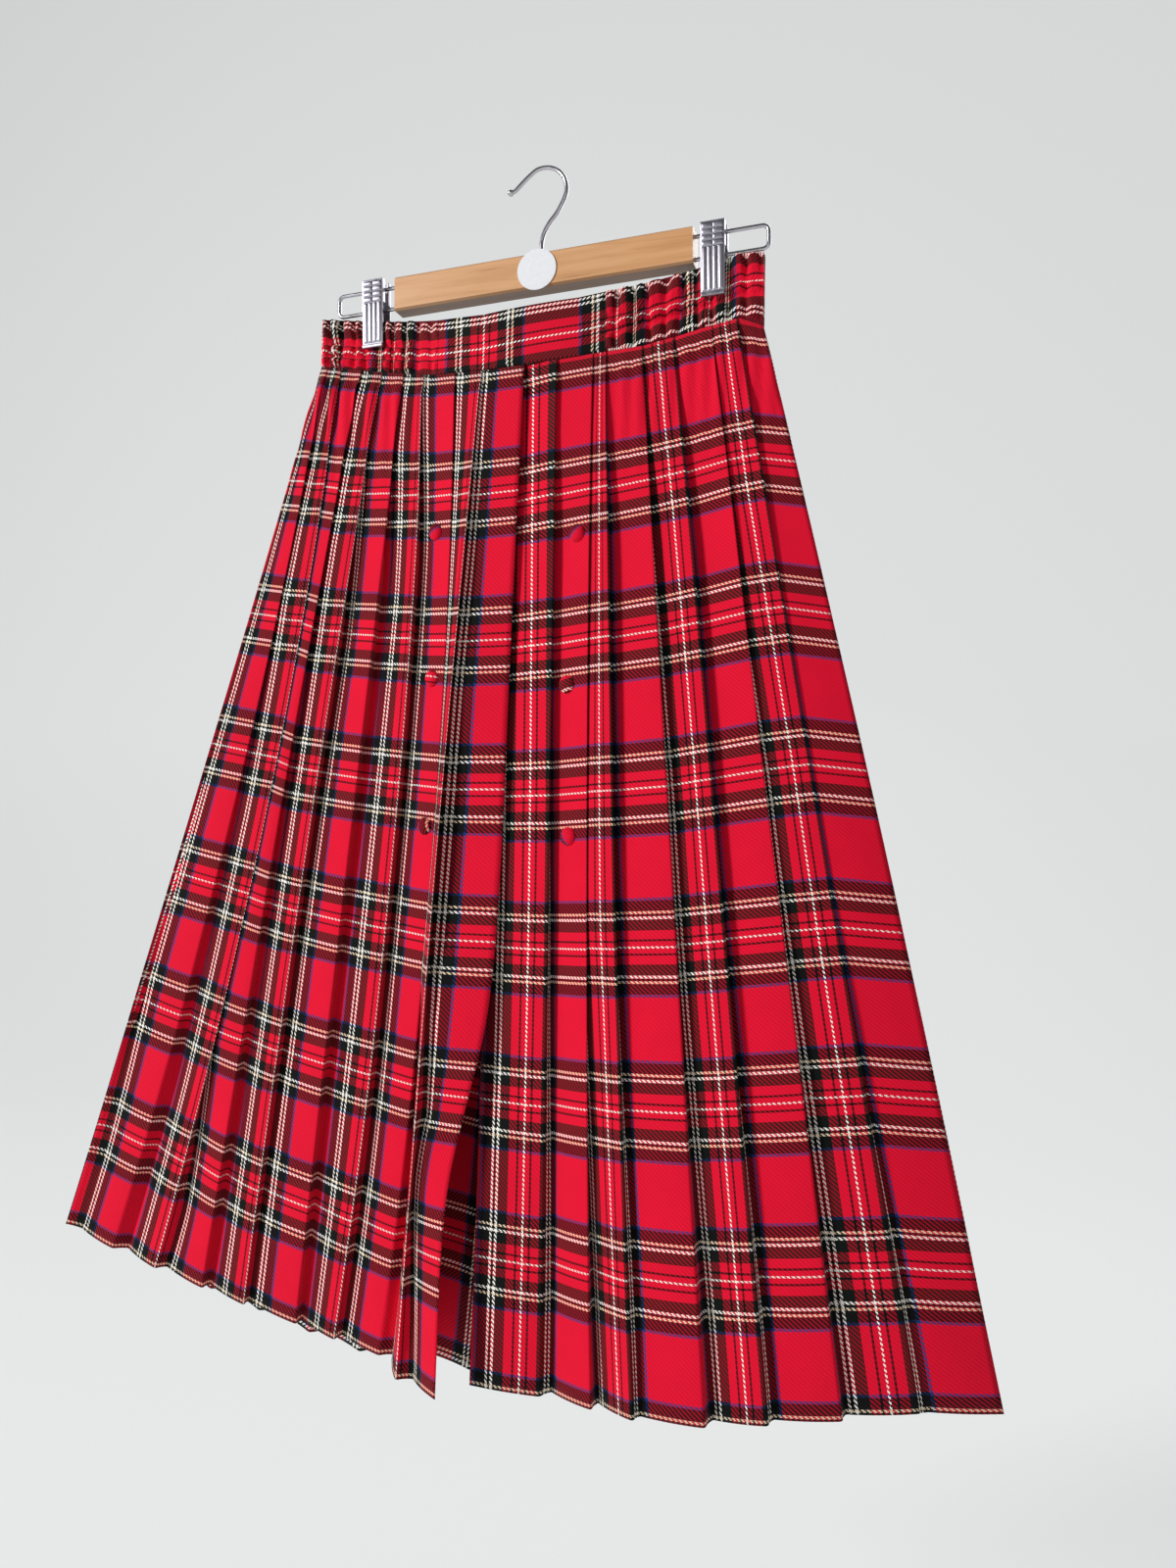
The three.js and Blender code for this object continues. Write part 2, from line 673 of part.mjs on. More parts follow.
const part = new THREE.Group();
part.add(hanger());
part.add(...waistband());
part.add(mesh("skirt_front_left", pleatedWall(LEFT_FRONT), "tartan"));
part.add(mesh("skirt_front_right", pleatedWall(RIGHT_FRONT), "tartan"));
part.add(mesh("skirt_back", pleatedWall(backPiece()), "tartan"));
part.add(...buttons());

export default part;
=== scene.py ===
"""A knife-pleated tartan skirt hung by two clips from a wooden bar hanger."""

import math

import bmesh
import bpy
from mathutils import Matrix, Vector, noise


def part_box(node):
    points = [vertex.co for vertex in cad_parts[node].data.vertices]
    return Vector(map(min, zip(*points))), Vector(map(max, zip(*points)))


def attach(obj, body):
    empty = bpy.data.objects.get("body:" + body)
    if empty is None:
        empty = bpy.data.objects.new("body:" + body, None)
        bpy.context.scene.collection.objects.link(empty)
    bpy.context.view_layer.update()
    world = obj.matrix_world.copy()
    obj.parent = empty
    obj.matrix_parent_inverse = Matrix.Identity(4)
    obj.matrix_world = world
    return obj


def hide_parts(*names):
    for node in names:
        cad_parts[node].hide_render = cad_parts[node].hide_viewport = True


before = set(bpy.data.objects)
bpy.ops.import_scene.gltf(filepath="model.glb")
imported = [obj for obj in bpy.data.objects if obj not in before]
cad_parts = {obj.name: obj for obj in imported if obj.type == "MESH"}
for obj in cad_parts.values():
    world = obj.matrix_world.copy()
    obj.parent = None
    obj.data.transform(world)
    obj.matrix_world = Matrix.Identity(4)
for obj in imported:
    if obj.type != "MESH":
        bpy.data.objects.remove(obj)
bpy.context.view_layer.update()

MM = 0.001

# Camera ------------------------------------------------------------------------------------------

CAMERA_MM = Vector((336.2, -836.0, -509.8))
YAW, PITCH, ROLL = (math.radians(a) for a in (19.06, 2.05, 1.17))
LENS_MM = 27.05

# The cut of the skirt, in millimetres -------------------------------------------------------------

CLOTH = 0.7  # a medium twill suiting
CUT_LENGTH = 763
FACE, BACK = 40, 17.5  # what shows of a pleat, and what is folded in behind it
HALF_SETT = FACE + BACK  # half a tartan repeat to each pleat
MID = 0.49  # the share of the length at which the middle places are given
TUCK = 0.62  # how far along to the next tip a hidden fold may reach
FOLD_WAIST = 3.2  # depth of a hidden fold at the waist
FOLD_SHARE, FOLD_FULL_FROM = 0.64, 0.22  # and further down, as a share of its full depth
TUCKED_IN = -4  # above the hem each hidden fold lies this far in behind its tip
CLEAR = 1.8  # least distance between the middles of two layers
SIDE_SEAM = 0.85  # each side's distance from the line where front and back meet
PROUD = 2.4  # how far the tips stand out from the waistband's middle
SIDE_FIRST, SIDE_NEXT = 2, 6  # room for the first fold beside a side seam, and for each next
PINCHED_FROM, PINCHED_TO = -129.5, 123.5  # between the clips the waist opens
BACK_PLEATS = 16
BACK_MID, BACK_HEM, BACK_EDGE = 26, 24, 0.09  # depths, and the share over which they are reached
BACK_SAG = 12
BACK_LOW_FROM, BACK_LOW_TO = (80, 150), (300, 380)  # left of the middle the back hangs lower
FLAT_FROM, FLAT_TO = -83, 56
BAND = 2.4  # thickness of the doubled waistband

# x, top edge, waist seam
WAIST = (
    (-192, -96, -134.5),
    (-153, -102, -142.5),
    (-86, -111, -154.5),
    (-42, -114, -157.6),
    (-9, -112.5, -157.6),
    (36, -110.5, -155.3),
    (86, -103.5, -150.5),
    (129, -95.8, -141.7),
    (158, -89.5, -137),
    (175, -91, -144.3),
)
WAIST_LEFT, WAIST_RIGHT = WAIST[0][0], WAIST[-1][0]
# x at the waist, at mid length and at the hem, and the tip's place in depth at the hem
LEFT_TIPS = (
    (-192, -302, -421, -4),
    (-186, -262, -370, -5),
    (-172, -230, -325, -7),
    (-153, -218, -277, -8),
    (-134, -188, -235, -9),
    (-114, -149, -186, -11),
    (-95, -109, -148, -14),
    (-66, -73, -107, -18),
    (-42, -62, -77, -46),
)
# share of the length, x, y
FLAP_EDGE = (
    (0, -7, -13),
    (0.3, -12, -15),
    (0.47, -13, -19),
    (0.61, -15, -25),
    (0.7, -22, -32),
    (0.77, -38, -38),
    (0.86, -42, -48),
    (1, -36, -64),
)
RIGHT_TIPS = (
    (21, 26, 31, -32),
    (49, 57, 73, -42),
    (59, 79, 106, -51),
    (86, 120, 156, -51),
    (110, 153, 197, -47),
    (138, 190, 245, -38),
    (157, 223, 291, -24),
    (175, 262, 345, -2),
)
UNDER_EDGE = (-37, -31, -24, 0, -8, -32)  # waist, mid and hem x, then waist, mid and hem y

# Tartan: half of the repeat in threads, from the white middle line out to the middle of the red
THREAD = 0.605
WEFT_THREAD = 0.597
RIB_COARSER = 1.4  # how much coarser than real the twill's ribs are drawn
HALF_THREADS = 95
SETT = (
    (0, "white"),
    (1, "red"),
    (7, "black"),
    (9.5, "red"),
    (20, "green"),
    (33, "white"),
    (36, "black"),
    (39.5, "yellow"),
    (42.5, "black"),
    (55, "blue"),
    (58.5, "red"),
)
# From the waist seam down to the first white middle row
FIRST_WHITE_ROW = {"left": 96.5, "right": 104.5, "back": 100.0}


# Small helpers -----------------------------------------------------------------------------------


def lerp(a, b, t):
    return a + (b - a) * t


def clamp(value, low, high):
    return max(low, min(high, value))


def smoothstep(value, low, high):
    t = clamp((value - low) / (high - low), 0, 1)
    return t * t * (3 - 2 * t)


def lookup(table, at, column):
    """A column's value between the rows of a table, whose first column rises."""
    for a, b in zip(table, table[1:]):
        if at <= b[0] or b is table[-1]:
            t = clamp((at - a[0]) / (b[0] - a[0]), 0, 1)
            return lerp(a[column], b[column], t)


def through_three(share, start, middle, end):
    a = ((share - MID) * (share - 1)) / MID
    b = (share * (share - 1)) / (MID * (MID - 1))
    c = (share * (share - MID)) / (1 - MID)
    return start * a + middle * b + end * c


def wobble(seed, along, size=1.0):
    """A slow, repeatable wander between about -size and size."""
    return size * noise.noise(Vector((seed * 7.31, along, 3.7)))


def linear(hex_colour):
    """sRGB hex to the linear colour that a shader socket takes."""
    channels = [int(hex_colour[i : i + 2], 16) / 255 for i in (1, 3, 5)]
    return [c / 12.92 if c <= 0.04045 else ((c + 0.055) / 1.055) ** 2.4 for c in channels] + [1.0]


def add_node(tree, kind, links=None, **settings):
    """Adds a node, sets what is named in settings, and links or fills its inputs. A node given
    for an input is linked from its first output."""
    node = tree.nodes.new(kind)
    for key, value in settings.items():
        setattr(node, key, value)
    for key, value in (links or {}).items():
        if isinstance(value, bpy.types.Node):
            value = value.outputs[0]
        if isinstance(value, bpy.types.NodeSocket):
            tree.links.new(value, node.inputs[key])
        else:
            node.inputs[key].default_value = value
    return node


# A Mix node's sockets for its two colours, and for the result
MIX_FIRST, MIX_SECOND, MIX_RESULT = 6, 7, 2


def new_material(name):
    material = bpy.data.materials.new(name)
    material.use_nodes = True
    tree = material.node_tree
    shader = tree.nodes["Principled BSDF"]
    return material, tree, shader


def finish_mesh(name, vertices, faces, uvs, material):
    """Makes a piece from points in millimetres, with a cloth map in millimetres."""
    data = bpy.data.meshes.new(name)
    data.from_pydata([[c * MM for c in v] for v in vertices], [], faces)
    layer = data.uv_layers.new(name="cloth")
    for loop in data.loops:
        layer.data[loop.index].uv = uvs[loop.vertex_index]
    data.materials.append(material)
    for polygon in data.polygons:
        polygon.use_smooth = True
    data.update()
    piece = bpy.data.objects.new(name, data)
    bpy.context.scene.collection.objects.link(piece)
    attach(piece, "root")
    return piece


def deselect():
    for o in bpy.context.selected_objects:
        o.select_set(False)


def apply_modifiers(piece):
    deselect()
    piece.select_set(True)
    bpy.context.view_layer.objects.active = piece
    for modifier in list(piece.modifiers):
        bpy.ops.object.modifier_apply(modifier=modifier.name)


# Materials ---------------------------------------------------------------------------------------


def tartan_twill():
    """Brushed wool-blend 2/2 twill, yarn-dyed: where a red thread crosses a dark one the diagonal
    ribs of both show, and the two blend to maroon. A matt cloth with a little fuzz."""
    material, tree, shader = new_material("tartan_twill")
    weft_colours = {
        "white": "#F2EFE6",
        "yellow": "#E9D3B4",
        "red": "#DC0A2E",
        "black": "#0D0D11",
        "green": "#0F1A15",
        "blue": "#1F3C80",
    }
    warp_colours = dict(weft_colours, yellow="#F2EDE2")
    cloth_map = add_node(tree, "ShaderNodeUVMap", uv_map="cloth")
    across = add_node(tree, "ShaderNodeSeparateXYZ", {0: cloth_map})
    yarns = []
    for way, thread, colours in ((0, THREAD, warp_colours), (1, WEFT_THREAD, weft_colours)):
        at = add_node(
            tree, "ShaderNodeMath", {0: across.outputs[way], 1: thread}, operation="DIVIDE"
        )
        folded = add_node(tree, "ShaderNodeMath", {0: at, 1: HALF_THREADS}, operation="PINGPONG")
        place = add_node(tree, "ShaderNodeMath", {0: folded, 1: HALF_THREADS}, operation="DIVIDE")
        stripes = add_node(tree, "ShaderNodeValToRGB", {0: place})
        stripes.color_ramp.interpolation = "CONSTANT"
        elements = stripes.color_ramp.elements
        while len(elements) < len(SETT):
            elements.new(0.5)
        for element, (start, colour) in zip(elements, SETT):
            element.position = start / HALF_THREADS
        for element, (start, colour) in zip(elements, SETT):
            element.color = linear(colours[colour])
        ribs = add_node(tree, "ShaderNodeMath", {0: at, 1: RIB_COARSER}, operation="DIVIDE")
        counted = add_node(tree, "ShaderNodeMath", {0: ribs}, operation="FLOOR")
        yarns.append((stripes, ribs, counted))
    (warp, warp_ribs, warp_count), (weft, weft_ribs, weft_count) = yarns
    # Over two, under two, one thread further along in each row: the ribs fall to the right. The
    # ribs are drawn coarser than the real 2.4 mm, because at that size they would hardly show.
    step = add_node(tree, "ShaderNodeMath", {0: warp_count, 1: weft_count}, operation="SUBTRACT")
    in_four = add_node(tree, "ShaderNodeMath", {0: step, 1: 4.0}, operation="FLOORED_MODULO")
    over = add_node(tree, "ShaderNodeMath", {0: in_four, 1: 2.0}, operation="LESS_THAN")
    on_top, beneath = (
        add_node(
            tree,
            "ShaderNodeMix",
            {0: over, MIX_FIRST: first, MIX_SECOND: second},
            data_type="RGBA",
        ).outputs[MIX_RESULT]
        for first, second in ((weft, warp), (warp, weft))
    )
    # A red thread sinks between dark ones, and a white one stands on them.
    beside_dark = add_node(
        tree,
        "ShaderNodeMapRange",
        {
            "Value": add_node(tree, "ShaderNodeRGBToBW", {0: beneath}),
            "From Min": 0.01,
            "From Max": 0.1,
            "To Min": 0.42,
        },
    )
    stands_out = add_node(
        tree,
        "ShaderNodeMapRange",
        {
            "Value": add_node(tree, "ShaderNodeRGBToBW", {0: on_top}),
            "From Min": 0.25,
            "From Max": 0.5,
        },
    )
    sunk = add_node(tree, "ShaderNodeMath", {0: beside_dark, 1: stands_out}, operation="MAXIMUM")
    # Painted light and shade on the twill ribs: each rib's crown is painted a little lighter and
    # its hollow a little darker.
    drift = add_node(tree, "ShaderNodeMath", {0: warp_ribs, 1: weft_ribs}, operation="SUBTRACT")
    angle = add_node(tree, "ShaderNodeMath", {0: drift, 1: math.pi / 2}, operation="MULTIPLY")
    rib = add_node(tree, "ShaderNodeMath", {0: angle}, operation="SINE")
    uneven = add_node(
        tree,
        "ShaderNodeTexNoise",
        {"Vector": cloth_map, "Scale": 0.035, "Detail": 3.0},
    )
    dyed = add_node(
        tree, "ShaderNodeMath", {0: uneven, 1: 0.16, 2: 0.92}, operation="MULTIPLY_ADD"
    )
    # The uneven dye, with the ribs' painted light and shade laid over it.
    dyed_and_rib_shade = add_node(tree, "ShaderNodeMath", {0: rib, 1: 0.1, 2: dyed}, operation="MULTIPLY_ADD")
    shade = add_node(tree, "ShaderNodeMath", {0: dyed_and_rib_shade, 1: sunk}, operation="MULTIPLY")
    shaded = add_node(tree, "ShaderNodeVectorMath", {0: on_top, 1: shade}, operation="MULTIPLY")
    tree.links.new(shaded.outputs[0], shader.inputs["Base Color"])
    shader.inputs["Roughness"].default_value = 0.82
    shader.inputs["Sheen Weight"].default_value = 0.05
    shader.inputs["Sheen Roughness"].default_value = 0.45
    shader.inputs["Specular IOR Level"].default_value = 0.12
    bump = add_node(tree, "ShaderNodeBump", {"Height": rib, "Strength": 0.25, "Distance": 0.0002})
    tree.links.new(bump.outputs[0], shader.inputs["Normal"])
    return material


def lacquered_beech():
    """Clear-lacquered beech: warm light brown with fine darker flecks along the grain."""
    material, tree, shader = new_material("lacquered_beech")
    place = add_node(tree, "ShaderNodeTexCoord").outputs["Object"]
    long_grain = add_node(
        tree,
        "ShaderNodeMapping",
        {"Vector": place, "Scale": (6.0, 90.0, 90.0)},
    ).outputs[0]
    grain = add_node(
        tree,
        "ShaderNodeTexNoise",
        {"Vector": long_grain, "Scale": 1.6, "Detail": 6.0, "Roughness": 0.6, "Distortion": 0.6},
    ).outputs[0]
    tone = add_node(tree, "ShaderNodeValToRGB", {0: grain})
    elements = tone.color_ramp.elements
    elements[0].position, elements[0].color = 0.25, linear("#BC8550")
    elements[1].position, elements[1].color = 0.75, linear("#D8A474")
    middle = elements.new(0.5)
    middle.color = linear("#CD9765")
    streak_map = add_node(
        tree,
        "ShaderNodeMapping",
        {"Vector": place, "Scale": (14.0, 220.0, 260.0)},
    ).outputs[0]
    streak = add_node(
        tree,
        "ShaderNodeTexNoise",
        {"Vector": streak_map, "Scale": 1.0, "Detail": 2.0},
    ).outputs[0]
    dark = add_node(
        tree,
        "ShaderNodeMapRange",
        {"Value": streak, "From Min": 0.66, "From Max": 0.78, "To Min": 0.0, "To Max": 0.55},
    ).outputs[0]
    streaked = add_node(
        tree,
        "ShaderNodeMix",
        {0: dark, MIX_FIRST: tone.outputs[0], MIX_SECOND: linear("#7A4420")},
        data_type="RGBA",
    ).outputs[MIX_RESULT]
    # Painted shade: the underside, where the faces turn downward, is painted darker.
    facing = add_node(
        tree,
        "ShaderNodeSeparateXYZ",
        {0: add_node(tree, "ShaderNodeNewGeometry").outputs["Normal"]},
    ).outputs[2]
    underside_painted_shade = add_node(
        tree,
        "ShaderNodeMapRange",
        {"Value": facing, "From Min": -0.9, "From Max": -0.4, "To Min": 0.3},
    ).outputs[0]
    # The grain's colour, with the painted shade on the underside.
    wood_with_painted_shade = add_node(
        tree,
        "ShaderNodeVectorMath",
        {0: streaked, 1: underside_painted_shade},
        operation="MULTIPLY",
    )
    tree.links.new(wood_with_painted_shade.outputs[0], shader.inputs["Base Color"])
    shader.inputs["Roughness"].default_value = 0.42
    shader.inputs["Coat Weight"].default_value = 0.25
    shader.inputs["Coat Roughness"].default_value = 0.3
    bump = add_node(tree, "ShaderNodeBump", {"Height": grain, "Strength": 0.1, "Distance": 0.0003})
    tree.links.new(bump.outputs[0], shader.inputs["Normal"])
    return material


def plated_steel(name, colour, roughness):
    """Bright nickel-chrome plate on drawn wire or pressed steel, with faint rubbing marks."""
    material, tree, shader = new_material(name)
    shader.inputs["Metallic"].default_value = 1.0
    shader.inputs["Base Color"].default_value = linear(colour)
    place = add_node(tree, "ShaderNodeTexCoord").outputs["Object"]
    rub = add_node(
        tree,
        "ShaderNodeTexNoise",
        {"Vector": place, "Scale": 260.0, "Detail": 3.0},
    ).outputs[0]
    rough = add_node(
        tree,
        "ShaderNodeMapRange",
        {"Value": rub, "To Min": roughness * 0.6, "To Max": roughness * 1.5},
    ).outputs[0]
    tree.links.new(rough, shader.inputs["Roughness"])
    return material


def white_paper():
    """A coated paper sticker, bare."""
    material, tree, shader = new_material("white_paper")
    place = add_node(tree, "ShaderNodeTexCoord").outputs["Object"]
    fibre = add_node(
        tree,
        "ShaderNodeTexNoise",
        {"Vector": place, "Scale": 400.0, "Detail": 2.0},
    ).outputs[0]
    tone = add_node(tree, "ShaderNodeValToRGB", {0: fibre})
    tone.color_ramp.elements[0].color = linear("#DDDEE2")
    tone.color_ramp.elements[1].color = linear("#E9EAEE")
    tree.links.new(tone.outputs[0], shader.inputs["Base Color"])
    shader.inputs["Roughness"].default_value = 0.45
    return material


TARTAN = tartan_twill()
BEECH = lacquered_beech()
WIRE = plated_steel("nickel_chrome_wire", "#C6C4CA", 0.22)
CLIP = plated_steel("nickel_chrome_clip", "#ABA8B2", 0.36)
PAPER = white_paper()


# The pleated pieces ------------------------------------------------------------------------------


def fullness(x):
    t = 2 * (x - PINCHED_FROM) / (PINCHED_TO - PINCHED_FROM) - 1
    return (1 - min(t * t, 1)) ** 2


def front_y(x):
    return lerp(-2, -13, fullness(x))


def back_y(x):
    return lerp(2, 9, fullness(x))


def waist_z(x, column, sag=0):
    return lookup(WAIST, x, column) - sag * fullness(x)


def fold_tip(waist, mid, hem, back, waist_y, sag=0, mid_back=None):
    if mid_back is None:
        mid_back = (waist_y + back) / 2
    seam = waist_z(waist, 2, sag) - 0.3
    drop = math.sqrt(CUT_LENGTH**2 - (hem - waist) ** 2 - (back - waist_y) ** 2)

    def place(share):
        return (
            through_three(share, waist, mid, hem),
            through_three(share, waist_y, mid_back, back),
            seam - drop * share,
            True,
        )

    return place


def flap_tip(share):
    x, y = FLAP_EDGE[0][1:]
    hem_x, hem_y = FLAP_EDGE[-1][1:]
    drop = math.sqrt(CUT_LENGTH**2 - (hem_x - x) ** 2 - (hem_y - y) ** 2)
    return (
        smooth_lookup(FLAP_EDGE, share, 1),
        smooth_lookup(FLAP_EDGE, share, 2),
        waist_z(x, 2) - 0.3 - drop * share,
        True,
    )


def smooth_lookup(table, at, column, spread=0.05):
    """As lookup, with the corners at the rows eased."""
    steps = (-1, -0.5, 0, 0.5, 1)
    low, high = table[0][0], table[-1][0]
    reach = min(spread, at - low, high - at)
    return sum(lookup(table, at + s * reach, column) for s in steps) / len(steps)


def hidden_fold(before, tip, after, share, least, opening, undercut, tuck_in):
    dx, dy = after[0] - tip[0], after[1] - tip[1]
    apart = math.hypot(dx, dy)
    spread = clamp(apart, FACE - BACK + 0.1, HALF_SETT - 1)
    reach = (spread**2 + BACK**2 - FACE**2) / (2 * spread)
    if reach > 0:
        reach *= undercut
    full = math.sqrt(BACK**2 - reach**2) * FOLD_SHARE
    inward = opening * lerp(FOLD_WAIST, full, smoothstep(share, 0, FOLD_FULL_FROM))
    along = max(min(reach, tuck_in), -TUCK * apart, least)
    ux, uy = dx / apart, dy / apart
    if before and along < 0:
        fx, fy = tip[0] - before[0], tip[1] - before[1]
        face = math.hypot(fx, fy)
        across = along * (fx * uy - fy * ux) / face
        inward = max(inward, (CLEAR - across) / ((fx * ux + fy * uy) / face))
    return (
        tip[0] + ux * along - uy * inward,
        tip[1] + uy * along + ux * inward,
        lerp(tip[2], after[2], clamp(along / apart, 0, 1)),
        False,
    )


def fold_row(piece, share):
    places = [tip(share) for tip in piece["tips"]]
    row = [piece["lead"](share)] if piece["lead"] else []
    last = len(places) - 2
    travelled = 0
    for order, place in enumerate(places):
        row.append(place)
        if order == len(places) - 1:
            break
        after = places[order + 1]
        opening = 1
        for seam, folds in piece["seams"].items():
            near = order if seam == "start" else last - order
            if near < len(folds):
                opening = lerp(*folds[near], smoothstep(share, 0.4, 0.85))
        least = -1e9 if piece["lead"] else SIDE_FIRST + SIDE_NEXT * order - travelled
        before = row[-2] if len(row) > 1 else None
        undercut = piece["undercut"]
        tuck_in = lerp(TUCKED_IN, piece["tuck_in"][order], smoothstep(share, 0.5, 1))
        row.append(hidden_fold(before, place, after, share, least, opening, undercut, tuck_in))
        travelled += math.hypot(after[0] - place[0], after[1] - place[1])
    return row


def cloth_marks(piece):
    """Where each fold lies across the cloth, in millimetres from a white middle line."""
    marks = [piece["first_mark"] - piece["lead_width"]] if piece["lead"] else []
    for order in range(len(piece["tips"])):
        tip = piece["first_mark"] + order * HALF_SETT
        marks.append(tip + (piece["turned_in"] if order == 0 else 0))
        if order < len(piece["tips"]) - 1:
            marks.append(tip + min(BACK, 12.5 + 0.4 * piece["tuck_in"][order]))
    return marks


RUFFLE_PITCH = 12  # from one gather to the next
GATHER_DEPTH = 2.6  # just under the elastic


def ruffle(x, share, seed):
    """The angle from the crown of a gather: the gathers wander and differ a little in width."""
    wander = 2.4 * noise.noise(Vector((x * 0.05, share * 0.9, seed)))
    return 2 * math.pi * x / RUFFLE_PITCH + wander


def gathers(x, share, facing):
    """How far the cloth stands forward in the gathers just under the elastic."""
    beside_flat = max(FLAT_FROM - x, x - FLAT_TO) if facing > 0 else 20
    fade = smoothstep(share, 0.004, 0.02) * (1 - smoothstep(share, 0.03, 0.16))
    ridge = 1 - (0.5 - 0.5 * math.cos(ruffle(x, 1, 5 * facing))) ** 1.6
    return GATHER_DEPTH * ridge * fade * smoothstep(beside_flat, 0, 10)


BEND = 2.0  # how far from a fold its rounding starts
ROUNDING = (0, 0.25, 0.5, 0.75, 1)
FACE_STEPS = 10
BACK_STEPS = 3


def cloth_section(row, marks, bow):
    """A smooth line of cloth through the folds of one row: (x, y, z, mark) for each point."""
    points = []
    lengths = [math.dist(a[:2], b[:2]) for a, b in zip(row, row[1:])]
    for i, fold in enumerate(row):
        here = Vector(fold[:3])
        if 0 < i < len(row) - 1:
            cut = min(BEND, 0.35 * lengths[i - 1], 0.35 * lengths[i])
            into = (Vector(row[i - 1][:3]) - here) / lengths[i - 1] * cut
            out = (Vector(row[i + 1][:3]) - here) / lengths[i] * cut
            rate_in = (marks[i] - marks[i - 1]) / lengths[i - 1]
            rate_out = (marks[i + 1] - marks[i]) / lengths[i]
            for t in ROUNDING:
                p = here + into * (1 - t) ** 2 + out * t**2
                mark = marks[i] - cut * (1 - t) ** 2 * rate_in + cut * t**2 * rate_out
                points.append((*p, mark))
        else:
            points.append((*here, marks[i]))
        if i == len(row) - 1:
            break
        steps = FACE_STEPS if row[i + 1][3] else BACK_STEPS
        after = Vector(row[i + 1][:3])
        start = BEND if i > 0 else 0
        end = BEND if i + 1 < len(row) - 1 else 0
        start, end = (min(c, 0.35 * lengths[i]) / lengths[i] for c in (start, end))
        side = (after - here).cross(Vector((0, 0, 1))).normalized()
        for k in range(1, steps):
            t = lerp(start, 1 - end, k / steps)
            swell = bow * math.sin(math.pi * t) * (1 if row[i + 1][3] else -0.4)
            p = here.lerp(after, t) + side * swell
            points.append((*p, lerp(marks[i], marks[i + 1], t)))
    return points


ROWS = 96
PLAIN_CUT = {
    "lead": None,  # the edge before the first tip
    "undercut": 1,
    "weft": 1,
    "slip": 0,
    "lower": 0,
    "turned_in": 0,
    "sag": 0,
    "first_mark": 0,
}


def pleated_cloth(name, cut):
    piece = PLAIN_CUT | cut
    marks = cloth_marks(piece)
    vertices, uvs, faces = [], [], []
    for r in range(ROWS + 1):
        share = r / ROWS
        row = []
        slip = piece["slip"] * (1 - smoothstep(share, 0, 0.6))
        row_marks = [mark + (slip if i < 2 else 0) for i, mark in enumerate(marks)]
        for i, (x, y, z, is_tip) in enumerate(fold_row(piece, share)):
            wander = share * (1 - 0.3 * share)
            x += wobble(i + piece["seed"], share * 3, 1.6) * wander
            y += wobble(i + piece["seed"] + 40, share * 3, 1.4) * wander
            drop = smoothstep(-x, *BACK_LOW_FROM) * (1 - smoothstep(-x, *BACK_LOW_TO))
            row.append((x, y, z - piece["lower"] * drop * share, is_tip))
        # The pleats come out from under the waistband.
        tucked = lerp(0.35, 1, smoothstep(share, 0, 0.025))
        middle = front_y if piece["sag"] == 0 else back_y
        row = [(x, lerp(middle(x), y, tucked), z, k) for x, y, z, k in row]
        bow = 1.3 * smoothstep(share, 0.1, 0.6)
        points = cloth_section(row, row_marks, bow)
        width = len(points)
        facing = 1 if piece["sag"] == 0 else -1
        for x, y, z, mark in points:
            y -= facing * gathers(x, share, facing)
            if r == 0:
                z = waist_z(x, 2, piece["sag"]) - 0.4
            vertices.append((x, y, z))
            down = share * CUT_LENGTH * piece["weft"]
            uvs.append((mark, down - FIRST_WHITE_ROW[piece["side"]]))
    for r in range(ROWS):
        for c in range(width - 1):
            a = r * width + c
            faces.append((a, a + width, a + width + 1, a + 1))
    made = finish_mesh(name, vertices, faces, uvs, TARTAN)
    wall = made.modifiers.new("thickness", "SOLIDIFY")
    wall.thickness = CLOTH * MM
    wall.offset = 0
    apply_modifiers(made)
    return made


def front_tip(tip):
    return fold_tip(*tip, front_y(tip[0]) - PROUD)


def side_tip(tip, facing, sag=0):
    waist, mid, hem, back = tip
    return fold_tip(waist, mid, hem, back - facing * SIDE_SEAM, -facing * SIDE_SEAM, sag)


def back_tips():
    tips = [side_tip(RIGHT_TIPS[-1], -1, BACK_SAG)]
    for i in range(1, BACK_PLEATS):
        t = i / BACK_PLEATS
        waist, mid, hem, back = (lerp(a, b, t) for a, b in zip(RIGHT_TIPS[-1], LEFT_TIPS[0]))
        inset = smoothstep(min(t, 1 - t), 0, BACK_EDGE)
        waist_y = back_y(waist) + PROUD
        tips.append(
            fold_tip(
                waist,
                mid,
                hem,
                lerp(back, BACK_HEM, inset),
                waist_y,
                BACK_SAG,
                lerp(waist_y, BACK_MID, inset),
            )
        )
    tips.append(side_tip(LEFT_TIPS[0], -1, BACK_SAG))
    return tips


# A pleat tip shows the white middle line or, every other one, the middle of the red.
left_front = pleated_cloth(
    "cloth_front_left",
    {
        "tips": [side_tip(LEFT_TIPS[0], 1)] + [front_tip(t) for t in LEFT_TIPS[1:]] + [flap_tip],
        "seams": {"start": ((0.12, 0.75), (0.55, 1))},
        "tuck_in": (14, 9, 5, 1, -2, -2, 0, 2, 9),
        "side": "left",
        "weft": 0.99,
        "turned_in": 5,
        "seed": 1,
    },
)
right_front = pleated_cloth(
    "cloth_front_right",
    {
        "tips": [front_tip(t) for t in RIGHT_TIPS[:-1]] + [side_tip(RIGHT_TIPS[-1], 1)],
        "lead": fold_tip(*UNDER_EDGE[:3], UNDER_EDGE[5], UNDER_EDGE[3], 0, UNDER_EDGE[4]),
        "lead_width": 52,
        "seams": {"end": ((0.12, 0.8), (0.55, 1))},
        "tuck_in": (3, 3, 3, 4, 4, 4, 8),
        "side": "right",
        "slip": 4.5,
        "first_mark": 14.5,
        "seed": 60,
    },
)
